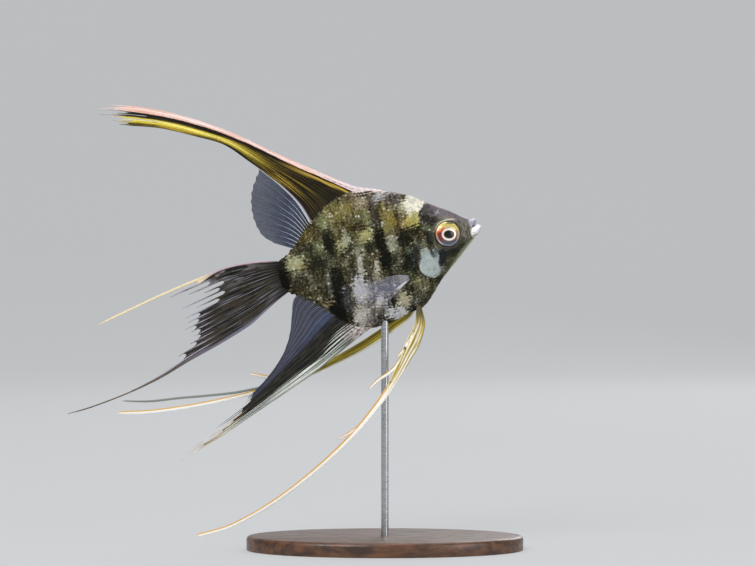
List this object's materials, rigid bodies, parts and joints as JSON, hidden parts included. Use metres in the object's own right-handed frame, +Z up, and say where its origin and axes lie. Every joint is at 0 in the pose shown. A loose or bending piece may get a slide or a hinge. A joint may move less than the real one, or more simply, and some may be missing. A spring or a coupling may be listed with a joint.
{
  "type": "freshwater angelfish display model",
  "caption": "Life-size marbled freshwater angelfish with long trailing fins, posed climbing, on a short steel rod and an oval wooden base.",
  "frame": {"origin": "centre of the stand base's underside, straight below the rod", "axes": "+X towards the fish's head, +Y towards the fish's left side, +Z up"},
  "size_m": [0.1586, 0.062, 0.1544],
  "materials": {
    "skin": "small wet-looking scales, marbled olive, cream and black",
    "lips": "smooth wet skin, pale lavender and white",
    "gill_covers": "smooth pearly silver-grey",
    "eyes": "clear gloss over a gold and red iris, black pupil",
    "dorsal_streamer": "rayed fin, pale pink edge over black and yellow bands",
    "clear_fins": "translucent grey-lavender membrane with white rays",
    "dark_fins": "rayed fin, smoky brown and black with pale edges",
    "pelvic_fins": "thick cream and yellow rays, smooth",
    "stand_wood": "dark stained walnut, satin lacquer",
    "stand_steel": "brushed steel rod"
  },
  "bodies": {
    "root": {"head": "skin", "trunk": "skin", "tail_stalk": "skin", "upper_lip": "lips", "lower_lip": "lips", "gill_cover_left": "gill_covers", "gill_cover_right": "gill_covers", "eye_left": "eyes", "eye_right": "eyes", "dorsal_fin_front": "dorsal_streamer", "dorsal_fin_rear": "clear_fins", "anal_fin": "dark_fins", "tail_fin_upper": "dark_fins", "tail_fin_middle": "dark_fins", "tail_fin_lower": "dark_fins", "pectoral_fin_left": "clear_fins", "pectoral_fin_right": "clear_fins", "pelvic_fin_left": "pelvic_fins", "pelvic_fin_right": "pelvic_fins", "stand_base": "stand_wood", "stand_rod": "stand_steel"}
  },
  "joints": []
}
